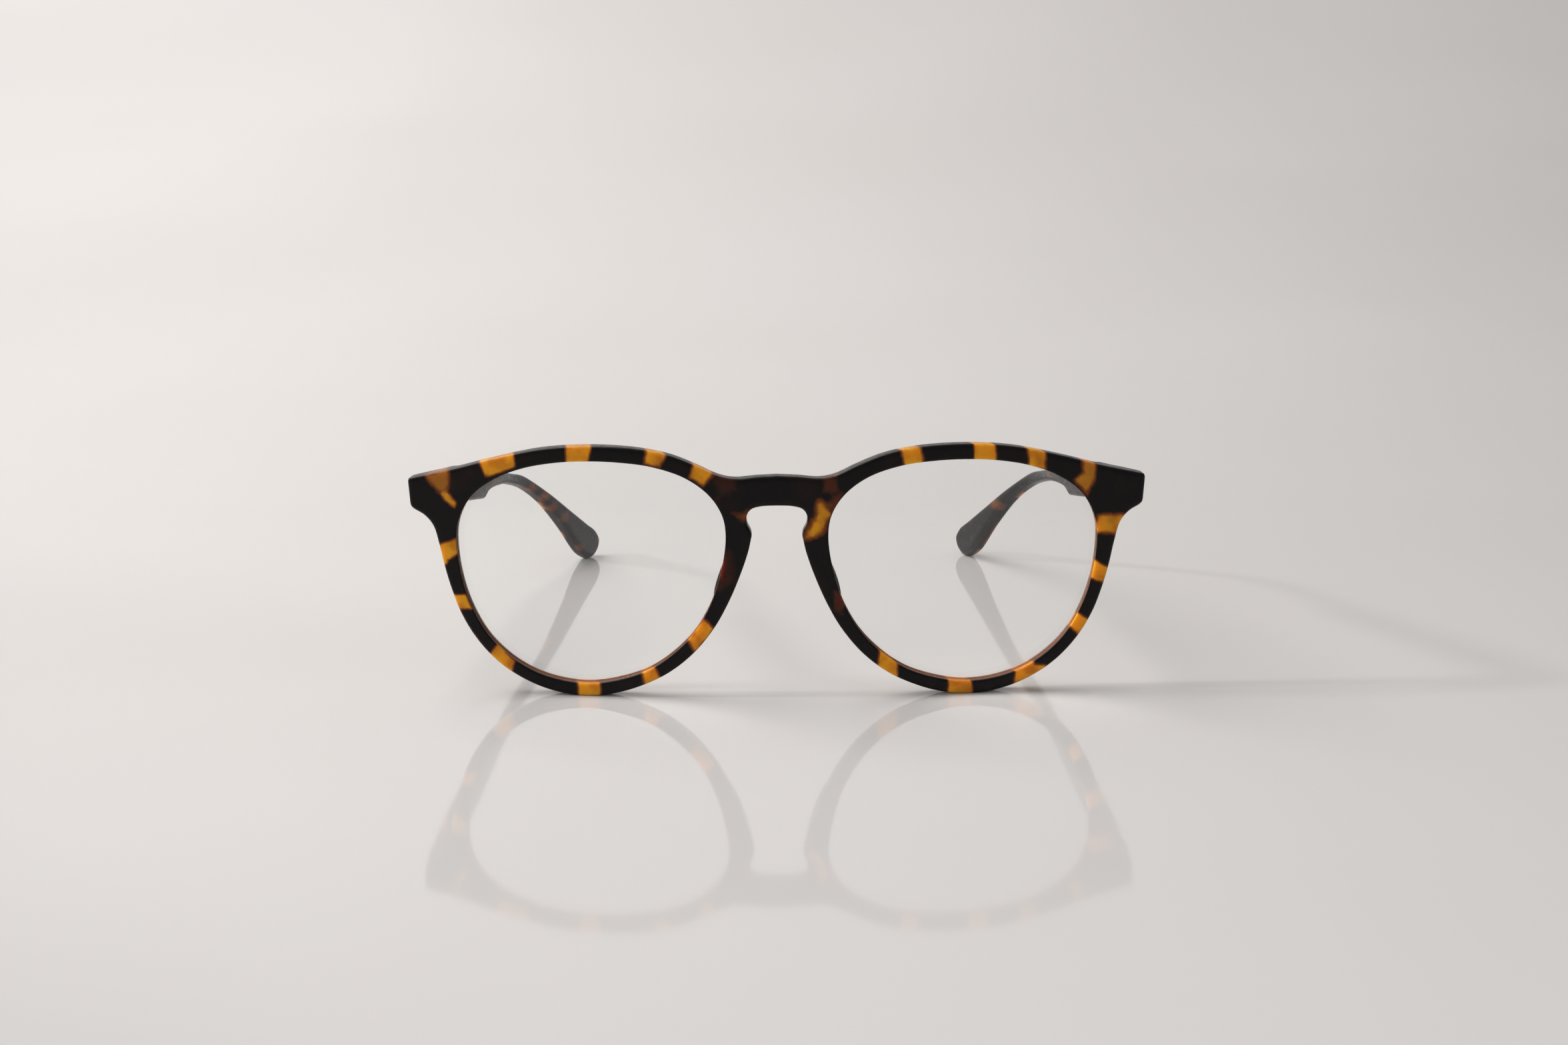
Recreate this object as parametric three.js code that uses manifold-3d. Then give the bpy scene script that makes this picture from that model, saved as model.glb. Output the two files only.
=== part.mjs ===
// Acetate spectacles with a keyhole bridge: a curved front, two lenses, two bonded nose pads,
// and two temples that each fold on a five-barrel hinge and hold a metal core wire.
// Millimetres. X runs across the face, +Y from the front back to the temple tips, +Z up.
// The temples are open and the spectacles stand on the rims and the temple tips, at z = 0.
// "right" is the +X side, seen from the front. The left side is its mirror image.
// Distances back are measured from the bridge's front face, and the last group moves the
// origin to the middle of the spectacles' depth.
import * as THREE from "three";
import { mergeVertices } from "three/addons/utils/BufferGeometryUtils.js";
import Module from "manifold-3d";

const wasm = await Module();
wasm.setup();

const OVERALL_DEPTH = 139.2; // from the bridge's front face to the temple tips

// ---- Front ----
const FRONT_THICKNESS = 4;
const WRAP_RADIUS = 230; // the front's curve round the face, seen from above
const HALF_WIDTH = 72; // of the sheet that the front is cut from
const WRAP_START = 9; // the bridge is flat out to here
const WRAP_END = 62; // the end pieces run on straight from here
const WRAP_STEP = 3; // between the points of the curve round the face
const SAMPLES_PER_SPAN = 3; // outline points between two of the points listed below

// Outlines are (x, z) points of the right half, seen from the front.
const BROW = [
  [0, 42.5], [4, 42.3], [8, 42], [11, 42.6], [15, 44.45], [20, 46.4], [26, 47.6],
  [35, 48.1], [44, 47.5], [53, 45.6], [62, 43.2], [69.8, 41.4],
];
const END_SIDE = [[70.3, 40.9], [70, 36]];
const RIM = [
  [69.6, 35.5], [67.2, 34.2], [65.6, 32.3], [64.5, 28.5], [63.6, 24.3], [62.4, 20],
  [60.5, 15], [57.4, 10], [53, 5.6], [47.5, 2.35], [42, 0.55], [36.7, 0], [32, 0.4],
  [27, 1.75], [21, 4.55], [16, 8.5], [12, 13.4], [9.4, 18], [7.2, 23], [5.45, 28], [4.75, 31.1],
];
const KEYHOLE = [[4.9, 32], [5.6, 33.5], [5.6, 35.1], [4.8, 36.2], [3, 36.75], [0, 36.9]];
const LENS_OPENING = [
  [9.63, 30.8], [10.2, 34.9], [12.6, 38.8], [17, 42.1], [23.3, 44.25], [29.4, 45.05],
  [35.3, 45.25], [41, 44.95], [47.5, 43.8], [53, 41.7], [57.9, 38.1], [60.6, 33],
  [60.9, 27], [59.3, 19], [55.8, 11.9], [51.4, 7.4], [46.3, 4.4], [40.6, 2.8], [35, 2.5],
  [29.5, 3.5], [24.3, 5.4], [19.65, 8.6], [15.65, 12.8], [12.65, 17.95], [10.65, 24],
];

// The end piece is thickened at the back, into a flat face that the temple butts against.
const END_BACK = 12;
const END_PIECE = [
  [61.4, 35.6], [69.6, 35.6], [70.1, 36.1], [70.2, 40.8], [69.8, 41.2], [61.4, 42.6],
];
const END_PIECE_DEPTH = 4;

// ---- Lenses ----
const LENS_THICKNESS = 1.5;
const LENS_RADIUS = 150; // of the spherical front surface
const LENS_IN_GROOVE = 0.7; // how far the lens edge reaches into the rim
const LENS_CENTRE = [35.3, 23.9];
const LENS_APEX_DEPTH = 0.1; // behind the front's own face
const LENS_BLANK_RADIUS = 34;
const FIT_GAP = 0.1; // between a piece and the pocket or groove that holds it

// ---- Nose pads ----
const PAD = { x: 8.5, z: 24.5, across: 1.9, along: 8, depth: 4.4, tilt: -21.4, flare: 0.12 };

// ---- Hinges: two leaves with five barrels between them, and a screw ----
const HINGE = { x: 64.2, y: 13.8, z: 38.1 };
const BARRELS = 5;
const BARREL_HEIGHT = 0.8;
const BARREL_GAP = 0.1;
const BARREL_RADIUS = 1.45;
const BORE_RADIUS = 0.7;
const LEAF_THICKNESS = 0.9;
const LEAF_HEIGHT = 4.4;
const FRONT_LEAF = { from: 61.9, to: 65.9 }; // along X
const TEMPLE_LEAF = { from: 12.6, to: 19.6, slope: 0.16 }; // along Y, and falling with the temple
const WEB_HALF_WIDTH = 0.95; // the neck between a barrel and its leaf
const SCREW_RADIUS = 0.65;
const SCREW_HEAD = { radius: 1.15, height: 0.6, chamfer: 0.2, slot: 0.3 };
const ROUND_SEGMENTS = 24;

// ---- Temples ----
const TEMPLE_START = 12.15; // clear of the end piece's flat back
const TEMPLE_END = 139.5;
const PLAN_STEP = 4; // between the points of the temple's curve, seen from above
const TEMPLE_X = 68.05; // the middle of the temple's thickness, at the hinge
const TEMPLE_THICKNESS = 4.1;
const TIP_THICKNESS = 3.1;
const TEMPLE_TAPER = { start: 18, length: 16, slope: 0.057 }; // towards the head
const TIP_CURL = { start: 88, length: 18, slope: 0.31 };
// The side view, as (y, z) points from the butt joint back along the top, round the tip and
// forward along the underside, with a small step where the wide front part meets the shaft.
const TEMPLE_TOP = [
  [12.15, 41.1], [30, 38.5], [52, 35.2], [70, 32.3], [86, 30.2], [95, 28.6], [101, 27.1],
  [112, 21.7], [124, 14.7], [133, 9.4],
];
const TIP_END = [[133, 9.4], [137.2, 6.9], [139.2, 4.2], [138.2, 1.7], [136, 0.3], [134, 0]];
const TEMPLE_UNDERSIDE = [
  [134, 0], [130, 2.2], [121, 10.9], [111, 19.1], [102, 24], [95, 26], [86, 27.6],
  [76, 28.7], [70, 29], [66.3, 28.9], [62.5, 28.1],
];
const TEMPLE_FRONT_LOW = [12.15, 35.2];

// ---- Core wires ----
const WIRE_RADIUS = 0.65;
const WIRE_SIDES = 8;
const WIRE_START = 12.7;
const WIRE_END = 128;
const WIRE_STEPS = 30;
const WIRE_PATH = [
  [12, 38.1], [52, 32.4], [66, 30.9], [76, 30.1], [88, 28.6], [95, 27.2], [101, 25.6],
  [112, 19.5], [121, 12.9], [130, 6],
];

const COLOURS = { acetate: 0x241a16, lens: 0xe8eef0, pad: 0x1f1714, steel: 0xb9b7b2 };

// A distance that starts level, curves up over a length, and then climbs at a steady slope.
function ramp(u, length, slope) {
  if (u <= 0) return 0;
  return u < length ? (slope * u * u) / (2 * length) : slope * (u - length / 2);
}

function wrap(x) {
  const length = WRAP_END - WRAP_START;
  return ramp(Math.abs(x) - WRAP_START, length, length / WRAP_RADIUS);
}

function templeMiddle(y) {
  const { start, length, slope } = TEMPLE_TAPER;
  const taper = ramp(y - start, length, slope);
  return TEMPLE_X - taper - ramp(y - TIP_CURL.start, TIP_CURL.length, TIP_CURL.slope);
}

// A smooth curve through (a, b) points, as Vector2 samples.
function smooth(points, closed = false) {
  const knots = points.map(([a, b]) => new THREE.Vector3(a, b, 0));
  const curve = new THREE.CatmullRomCurve3(knots, closed, "centripetal");
  const spans = closed ? points.length : points.length - 1;
  const samples = curve.getPoints(spans * SAMPLES_PER_SPAN);
  if (closed) samples.pop();
  return samples.map((p) => new THREE.Vector2(p.x, p.y));
}

function mirrored(points) {
  return points.map((p) => new THREE.Vector2(-p.x, p.y)).reverse();
}

// A closed outline moved outwards by a distance.
function grown(points, distance) {
  const turn = THREE.ShapeUtils.isClockWise(points) ? -1 : 1;
  return points.map((p, i) => {
    const before = points[(i + points.length - 1) % points.length];
    const after = points[(i + 1) % points.length];
    const along = after.clone().sub(before).normalize();
    return new THREE.Vector2(p.x + along.y * turn * distance, p.y - along.x * turn * distance);
  });
}

function toSolid(source) {
  const bare = new THREE.BufferGeometry();
  const flat = source.index ? source.toNonIndexed() : source;
  bare.setAttribute("position", flat.getAttribute("position"));
  const merged = mergeVertices(bare, 1e-4);
  return new wasm.Manifold(
    new wasm.Mesh({
      numProp: 3,
      vertProperties: merged.attributes.position.array,
      triVerts: new Uint32Array(merged.index.array),
    }),
  );
}

function toGeometry(solid) {
  const { vertProperties, triVerts } = solid.getMesh();
  const indexed = new THREE.BufferGeometry();
  indexed.setAttribute("position", new THREE.BufferAttribute(vertProperties, 3));
  indexed.setIndex(new THREE.BufferAttribute(triVerts, 1));
  const result = indexed.toNonIndexed();
  result.computeVertexNormals();
  return result;
}

// A slab, extruded from an outline along Z, from 0 to its thickness.
function slab(outline, thickness, holes = []) {
  const clockwise = THREE.ShapeUtils.isClockWise(outline);
  const shape = new THREE.Shape(clockwise ? [...outline].reverse() : outline);
  shape.holes = holes.map((hole) => new THREE.Path(hole));
  return new THREE.ExtrudeGeometry(shape, { depth: thickness, bevelEnabled: false });
}

// A slab of an (x, z) outline, between two distances back from the face.
function facing(outline, front, back, holes) {
  return slab(outline, back - front, holes).rotateX(Math.PI / 2).translate(0, back, 0);
}

// A solid with one outline seen from the front or the side and another seen from above.
function crossed(view, plan, height) {
  return toSolid(view).intersect(toSolid(slab(plan, height)));
}

function evenSteps(from, to, step) {
  const count = Math.ceil((to - from) / step);
  return Array.from({ length: count + 1 }, (_, i) => from + ((to - from) * i) / count);
}

function box(x, y, z) {
  const size = [x[1] - x[0], y[1] - y[0], z[1] - z[0]];
  const geometry = new THREE.BoxGeometry(...size);
  return geometry.translate((x[0] + x[1]) / 2, (y[0] + y[1]) / 2, (z[0] + z[1]) / 2);
}

// A round bar on the hinge's axis, between two heights.
function pin(radius, low, high) {
  const geometry = new THREE.CylinderGeometry(radius, radius, high - low, ROUND_SEGMENTS);
  return geometry.rotateX(Math.PI / 2).translate(HINGE.x, HINGE.y, (low + high) / 2);
}

function moveVertices(geometry, place) {
  const position = geometry.getAttribute("position");
  for (let i = 0; i < position.count; i++) {
    const [x, y, z] = place(position.getX(i), position.getY(i), position.getZ(i));
    position.setXYZ(i, x, y, z);
  }
  return geometry;
}

const opening = smooth(LENS_OPENING, true);

// A spherical meniscus cut to the opening's outline, with both made larger by a gap.
function edgedLens(gap) {
  const sag = (r) => LENS_RADIUS - Math.sqrt(LENS_RADIUS ** 2 - r ** 2);
  const rings = 6;
  const radii = Array.from({ length: rings + 1 }, (_, i) => ((LENS_BLANK_RADIUS + gap) * i) / rings);
  const front = radii.map((r) => new THREE.Vector2(r, sag(r) - gap));
  const back = radii.map((r) => new THREE.Vector2(r, sag(r) + LENS_THICKNESS + gap)).reverse();
  const [x, z] = LENS_CENTRE;
  const lean = Math.atan((x - WRAP_START) / WRAP_RADIUS);
  const blank = new THREE.LatheGeometry([...front, ...back], 2 * ROUND_SEGMENTS);
  blank.rotateZ(lean).translate(x, wrap(x) + LENS_APEX_DEPTH, z);
  const outline = grown(opening, LENS_IN_GROOVE + gap);
  return toSolid(blank).intersect(toSolid(facing(outline, -END_BACK, 2 * END_BACK)));
}

function frameFront() {
  const half = [...smooth(BROW), ...END_SIDE.map(([x, z]) => new THREE.Vector2(x, z))];
  half.push(...smooth(RIM), ...smooth(KEYHOLE));
  const otherHalf = mirrored(half).slice(1, -1);
  const openings = [opening, mirrored(opening)];
  const faceOn = facing([...half, ...otherHalf], -1, 2 * END_BACK, openings);
  const across = evenSteps(-HALF_WIDTH, HALF_WIDTH, WRAP_STEP);
  const curve = across.map((x) => new THREE.Vector2(x, wrap(x)));
  const behind = across.map((x) => new THREE.Vector2(x, wrap(x) + FRONT_THICKNESS)).reverse();
  let solid = crossed(faceOn, [...curve, ...behind], 2 * HINGE.z);
  const corner = END_PIECE.map(([x, z]) => new THREE.Vector2(x, z));
  const groove = edgedLens(FIT_GAP);
  const pocket = toSolid(
    box(
      [FRONT_LEAF.from - FIT_GAP, FRONT_LEAF.to + FIT_GAP],
      [END_BACK - LEAF_THICKNESS - FIT_GAP, END_BACK + 1],
      [HINGE.z - LEAF_HEIGHT / 2 - FIT_GAP, HINGE.z + LEAF_HEIGHT / 2 + FIT_GAP],
    ),
  );
  const thickening = toSolid(facing(corner, END_BACK - END_PIECE_DEPTH, END_BACK));
  for (const side of [1, -1]) {
    const onSide = (piece) => (side > 0 ? piece : piece.mirror([1, 0, 0]));
    solid = solid.add(onSide(thickening));
    solid = solid.subtract(onSide(groove)).subtract(onSide(pocket));
  }
  return solid;
}

function nosePad() {
  const { x, z, across, along, depth, tilt, flare } = PAD;
  const pad = new THREE.SphereGeometry(1, ROUND_SEGMENTS, ROUND_SEGMENTS / 2);
  pad.rotateX(Math.PI / 2).scale(across, depth, along);
  moveVertices(pad, (px, py, pz) => [px + flare * py, py, pz]);
  pad.rotateY((tilt * Math.PI) / 180);
  pad.translate(x, FRONT_THICKNESS + FIT_GAP, z);
  const behindRim = box([0, 2 * x], [FRONT_THICKNESS + FIT_GAP, END_BACK], [0, 2 * z]);
  return toSolid(pad).intersect(toSolid(behindRim));
}

// The barrels of one leaf: every other one of the row, from the given one.
function barrels(first, web) {
  const bottom = HINGE.z - (BARRELS * BARREL_HEIGHT + (BARRELS - 1) * BARREL_GAP) / 2;
  const pieces = [];
  for (let i = first; i < BARRELS; i += 2) {
    const low = bottom + i * (BARREL_HEIGHT + BARREL_GAP);
    const high = low + BARREL_HEIGHT;
    pieces.push(toSolid(pin(BARREL_RADIUS, low, high)), toSolid(web(low, high)));
  }
  return pieces;
}

function joined(pieces) {
  return pieces.reduce((whole, piece) => whole.add(piece));
}

function boredLeaf(plate, knuckles) {
  const reach = BARRELS * BARREL_HEIGHT;
  const bore = toSolid(pin(BORE_RADIUS, HINGE.z - reach, HINGE.z + reach));
  return joined([toSolid(plate), ...knuckles]).subtract(bore);
}

function frontHingeLeaf() {
  const heights = [HINGE.z - LEAF_HEIGHT / 2, HINGE.z + LEAF_HEIGHT / 2];
  const depths = [END_BACK - LEAF_THICKNESS, END_BACK];
  const plate = box([FRONT_LEAF.from, FRONT_LEAF.to], depths, heights);
  const neck = [HINGE.x - WEB_HALF_WIDTH, HINGE.x + WEB_HALF_WIDTH];
  const web = (low, high) => box(neck, [depths[0] + LEAF_THICKNESS / 2, HINGE.y], [low, high]);
  return boredLeaf(plate, barrels(0, web));
}

const TEMPLE_INNER = TEMPLE_X - TEMPLE_THICKNESS / 2;

// A piece sheared down towards the back, as the temple slopes.
function sloped(geometry) {
  const drop = (y) => TEMPLE_LEAF.slope * (y - HINGE.y);
  return moveVertices(geometry, (x, y, z) => [x, y, z - drop(y)]);
}

function templeHingeLeaf() {
  const heights = [HINGE.z - LEAF_HEIGHT / 2, HINGE.z + LEAF_HEIGHT / 2];
  const depths = [TEMPLE_INNER, TEMPLE_INNER + LEAF_THICKNESS];
  const plate = sloped(box(depths, [TEMPLE_LEAF.from, TEMPLE_LEAF.to], heights));
  const neck = [HINGE.y - WEB_HALF_WIDTH, HINGE.y + WEB_HALF_WIDTH];
  const web = (low, high) => box([HINGE.x, TEMPLE_INNER + LEAF_THICKNESS / 2], neck, [low, high]);
  return boredLeaf(plate, barrels(1, web));
}

function hingeScrew() {
  const halfRow = (BARRELS * BARREL_HEIGHT + (BARRELS - 1) * BARREL_GAP) / 2;
  const seat = halfRow + BARREL_GAP / 2;
  const { radius, height, chamfer, slot } = SCREW_HEAD;
  const profile = [
    [0, -halfRow], [SCREW_RADIUS, -halfRow], [SCREW_RADIUS, seat], [radius, seat],
    [radius, seat + height - chamfer], [radius - chamfer, seat + height], [0, seat + height],
  ].map(([r, z]) => new THREE.Vector2(r, z));
  const body = new THREE.LatheGeometry(profile, ROUND_SEGMENTS).rotateX(Math.PI / 2);
  const top = [seat + height - slot, seat + height + 1];
  const cut = box([-2 * radius, 2 * radius], [-slot / 2, slot / 2], top);
  const screw = toSolid(body).subtract(toSolid(cut));
  return screw.translate([HINGE.x, HINGE.y, HINGE.z]);
}

// The bar along a temple's middle, of one radius, between two distances back.
function wireBar(radius, from, to) {
  const knots = WIRE_PATH.map(([y, z]) => new THREE.Vector3(0, y, z));
  const line = new THREE.CatmullRomCurve3(knots, false, "centripetal").getPoints(120);
  const inside = line.filter((p) => p.y > from && p.y < to);
  const at = (y) => {
    const i = line.findIndex((p) => p.y >= y);
    const t = (y - line[i - 1].y) / (line[i].y - line[i - 1].y);
    return line[i - 1].clone().lerp(line[i], t);
  };
  const bent = [at(from), ...inside, at(to)].map((p) => p.setX(templeMiddle(p.y)));
  const section = Array.from({ length: WIRE_SIDES }, (_, i) => {
    const angle = (2 * Math.PI * (i + 0.5)) / WIRE_SIDES;
    return new THREE.Vector2(radius * Math.cos(angle), radius * Math.sin(angle));
  });
  return toSolid(
    new THREE.ExtrudeGeometry(new THREE.Shape(section), {
      extrudePath: new THREE.CatmullRomCurve3(bent, false, "centripetal"),
      steps: WIRE_STEPS,
    }),
  );
}

function temple() {
  const outline = [
    ...smooth(TEMPLE_TOP).slice(0, -1),
    ...smooth(TIP_END).slice(0, -1),
    ...smooth(TEMPLE_UNDERSIDE),
    new THREE.Vector2(...TEMPLE_FRONT_LOW),
  ];
  const sideOn = moveVertices(slab(outline, 2 * TEMPLE_X), (y, z, x) => [x, y, z]);
  const along = evenSteps(TEMPLE_START, TEMPLE_END, PLAN_STEP);
  const halfThickness = (y) => {
    const thinning = (TEMPLE_THICKNESS - TIP_THICKNESS) / (TEMPLE_END - TEMPLE_START);
    return (TEMPLE_THICKNESS - (y - TEMPLE_START) * thinning) / 2;
  };
  const outer = along.map((y) => new THREE.Vector2(templeMiddle(y) + halfThickness(y), y));
  const inner = along.map((y) => new THREE.Vector2(templeMiddle(y) - halfThickness(y), y));
  const blank = crossed(sideOn, [...outer, ...inner.reverse()], 2 * HINGE.z);
  const pocket = box(
    [TEMPLE_INNER - 1, TEMPLE_INNER + LEAF_THICKNESS + FIT_GAP],
    [TEMPLE_LEAF.from - FIT_GAP, TEMPLE_LEAF.to + FIT_GAP],
    [HINGE.z - LEAF_HEIGHT / 2 - FIT_GAP, HINGE.z + LEAF_HEIGHT / 2 + FIT_GAP],
  );
  const channel = wireBar(WIRE_RADIUS + FIT_GAP, TEMPLE_START - 0.1, WIRE_END + 2 * FIT_GAP);
  return blank.subtract(toSolid(sloped(pocket))).subtract(channel);
}

const materials = {
  acetate: { color: COLOURS.acetate, roughness: 0.35, metalness: 0 },
  pad: { color: COLOURS.pad, roughness: 0.35, metalness: 0 },
  lens: { color: COLOURS.lens, roughness: 0.05, metalness: 0, transparent: true, opacity: 0.3 },
  steel: { color: COLOURS.steel, roughness: 0.3, metalness: 1 },
};

function piece(name, solid, material, onLeft = false) {
  const mesh = new THREE.Mesh(toGeometry(solid), new THREE.MeshStandardMaterial(materials[material]));
  mesh.name = name;
  if (onLeft) mesh.scale.x = -1;
  return mesh;
}

const spectacles = new THREE.Group();
spectacles.position.y = -OVERALL_DEPTH / 2;
spectacles.add(piece("frame_front", frameFront(), "acetate"));

const pairs = [
  ["lens", edgedLens(0), "lens"],
  ["nose_pad", nosePad(), "pad"],
  ["front_hinge_leaf", frontHingeLeaf(), "steel"],
  ["temple_hinge_leaf", templeHingeLeaf(), "steel"],
  ["hinge_screw", hingeScrew(), "steel"],
  ["temple", temple(), "acetate"],
  ["core_wire", wireBar(WIRE_RADIUS, WIRE_START, WIRE_END), "steel"],
];
for (const [name, solid, material] of pairs) {
  spectacles.add(piece(name + "_right", solid, material));
  spectacles.add(piece(name + "_left", solid, material, true));
}

const stand = new THREE.Group();
stand.add(spectacles);

export default stand;
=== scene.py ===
"""Acetate spectacles in a pale studio: the looks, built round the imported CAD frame."""

import math

import bmesh
import bpy
import numpy as np
from mathutils import Matrix, Vector
from mathutils.geometry import delaunay_2d_cdt


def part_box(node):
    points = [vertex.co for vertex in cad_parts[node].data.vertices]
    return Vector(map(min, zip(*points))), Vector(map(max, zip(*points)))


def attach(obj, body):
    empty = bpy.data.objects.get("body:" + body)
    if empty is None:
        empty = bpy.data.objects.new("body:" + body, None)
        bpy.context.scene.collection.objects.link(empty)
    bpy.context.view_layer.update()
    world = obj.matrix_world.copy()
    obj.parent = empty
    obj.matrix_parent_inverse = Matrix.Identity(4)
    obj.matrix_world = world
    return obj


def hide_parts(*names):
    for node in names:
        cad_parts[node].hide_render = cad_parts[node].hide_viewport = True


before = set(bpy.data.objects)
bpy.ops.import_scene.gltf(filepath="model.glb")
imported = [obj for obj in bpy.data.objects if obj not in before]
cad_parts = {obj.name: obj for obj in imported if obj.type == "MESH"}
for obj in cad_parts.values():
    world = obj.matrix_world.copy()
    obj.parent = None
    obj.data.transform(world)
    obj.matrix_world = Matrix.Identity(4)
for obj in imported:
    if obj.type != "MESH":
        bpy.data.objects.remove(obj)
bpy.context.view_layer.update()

MM = 0.001
SIDES = {"right": 1, "left": -1}

# ---------------------------------------------------------------- sizes, in millimetres
# Distances back are from the bridge's front face, as in the CAD source; the frame's own
# box says where that face is.
FACE_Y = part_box("frame_front")[0].y / MM

FRONT_THICKNESS = 4.0
WRAP_RADIUS = 230.0
WRAP_START, WRAP_END = 9.0, 62.0
END_BACK = 12.0
EDGE = 0.6  # rounding of the front's tumbled edges
OPENING_EDGE = 0.3  # rounding round the lenses
JOINT_EDGE = 0.15  # rounding where the temple butts against the end piece
OPENING_BAND = (0.9, 1.6)  # distances from an opening over which its rounding fades out
THICKENING_X, THICKENING_Z = (60.4, 62.4), (33.6, 36)  # where the end piece deepens
JOINT_X, JOINT_Z = (64.5, 66.5), (34, 35.4)  # where its back edges turn crisp

LENS_THICKNESS = 1.5
LENS_RADIUS = 150.0
LENS_CENTRE = (35.3, 23.9)
LENS_APEX_DEPTH = 0.1
GROOVE_DEPTH = 0.6
GROOVE_GAP, GROOVE_SHOULDER = 0.1, 0.35  # in front of and behind the lens
LENS_RINGS = 16

TEMPLE_START, TEMPLE_END = 12.15, 139.2
TEMPLE_X = 68.05
TEMPLE_THICKNESS, TIP_THICKNESS = 4.1, 3.1
TEMPLE_TAPER = (18, 16, 0.057)  # start, length, slope
TIP_CURL = (88, 18, 0.31)
TEMPLE_EDGE = 1.1
JOINT_FADE = 5  # length over which the temple's edges go from crisp to round

HINGE = Vector((64.2, 13.8, 38.1))
BARRELS, BARREL_HEIGHT, BARREL_GAP = 5, 0.8, 0.1
BARREL_RADIUS, BORE_RADIUS = 1.45, 0.7
LEAF_THICKNESS, LEAF_HEIGHT = 0.9, 4.4
FRONT_LEAF = (61.9, 65.9)
TEMPLE_LEAF = (12.6, 19.6)
LEAF_SLOPE = 0.16  # the temple's leaf falls with the temple
WEB_HALF_WIDTH = 0.95
METAL_CHAMFER = 0.1

PAD = {"x": 8.5, "z": 24.5, "across": 1.9, "along": 8.0, "depth": 4.4, "tilt": -21.4}
PAD_OVERLAP = 0.15  # how far the pad sinks into the rim
PAD_TOP_LENGTH = 0.35  # of the dome's ridge, as a share of the base
PAD_NARROWING = 0.18  # of the upper end
PAD_LEAN = 0.1  # sideways for each millimetre back

BROW = [
    (0, 42.5), (4, 42.3), (8, 42), (11, 42.6), (15, 44.45), (20, 46.4), (26, 47.6),
    (35, 48.1), (44, 47.5), (53, 45.6), (62, 43.2), (69.6, 41.45),
]
END_TOP = [(69.6, 41.45), (70.1, 41.25), (70.3, 40.7)]
END_SIDE = [(70.3, 40.7), (70.02, 36.6)]
END_LOW = [(70.02, 36.6), (69.85, 35.95), (69.3, 35.4)]
RIM = [
    (69.3, 35.4), (67.2, 34.2), (65.6, 32.3), (64.5, 28.5), (63.6, 24.3), (62.4, 20),
    (60.5, 15), (57.4, 10), (53, 5.6), (47.5, 2.35), (42, 0.55), (36.7, 0), (32, 0.4),
    (27, 1.75), (21, 4.55), (16, 8.5), (12, 13.4), (9.4, 18), (7.2, 23), (5.45, 28),
    (4.75, 31.1),
]
KEYHOLE = [(4.75, 31.1), (4.9, 32), (5.6, 33.5), (5.6, 35.1), (4.8, 36.2), (3, 36.75), (0, 36.9)]
LENS_OPENING = [
    (9.63, 30.8), (10.2, 34.9), (12.6, 38.8), (17, 42.1), (23.3, 44.25), (29.4, 45.05),
    (35.3, 45.25), (41, 44.95), (47.5, 43.8), (53, 41.7), (57.9, 38.1), (60.6, 33),
    (60.9, 27), (59.3, 19), (55.8, 11.9), (51.4, 7.4), (46.3, 4.4), (40.6, 2.8), (35, 2.5),
    (29.5, 3.5), (24.3, 5.4), (19.65, 8.6), (15.65, 12.8), (12.65, 17.95), (10.65, 24),
]
TEMPLE_TOP = [
    (12.15, 41.1), (30, 38.5), (52, 35.2), (70, 32.3), (86, 30.2), (95, 28.6), (101, 27.1),
    (112, 21.7), (124, 14.7), (133, 9.4),
]
TIP_END = [(133, 9.4), (137.2, 6.9), (139.2, 4.2), (138.2, 1.7), (136, 0.3), (134, 0)]
TEMPLE_UNDERSIDE = [
    (134, 0), (130, 2.2), (121, 10.9), (111, 19.1), (102, 24), (95, 26), (86, 27.6),
    (76, 28.7), (70, 29), (66.3, 28.9), (62.5, 28.1),
]
TEMPLE_LOW = [(62.5, 28.1), (12.15, 35.2)]
TEMPLE_BUTT = [(12.15, 35.2), (12.15, 41.1)]

# ---------------------------------------------------------------- curves and outlines

CURVE_SAMPLES = 24  # between two points of an outline, before it is spaced evenly


def ramp(u, length, slope):
    """Starts level, curves up over a length, then climbs at a steady slope."""
    u = np.maximum(u, 0)
    return np.where(u < length, slope * u * u / (2 * length), slope * (u - length / 2))


def wrap(x):
    length = WRAP_END - WRAP_START
    return ramp(np.abs(x) - WRAP_START, length, length / WRAP_RADIUS)


def temple_middle(y):
    taper_start, taper_length, taper_slope = TEMPLE_TAPER
    curl_start, curl_length, curl_slope = TIP_CURL
    taper = ramp(y - taper_start, taper_length, taper_slope)
    return TEMPLE_X - taper - ramp(y - curl_start, curl_length, curl_slope)


def smoothstep(low, high, x):
    t = np.clip((x - low) / (high - low), 0, 1)
    return t * t * (3 - 2 * t)


def even(points, step):
    """The same line with points a fixed distance apart."""
    points = np.asarray(points, float)
    along = np.r_[0, np.cumsum(np.linalg.norm(np.diff(points, axis=0), axis=1))]
    count = max(2, round(along[-1] / step) + 1)
    at = np.linspace(0, along[-1], count)
    return np.c_[np.interp(at, along, points[:, 0]), np.interp(at, along, points[:, 1])]


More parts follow.
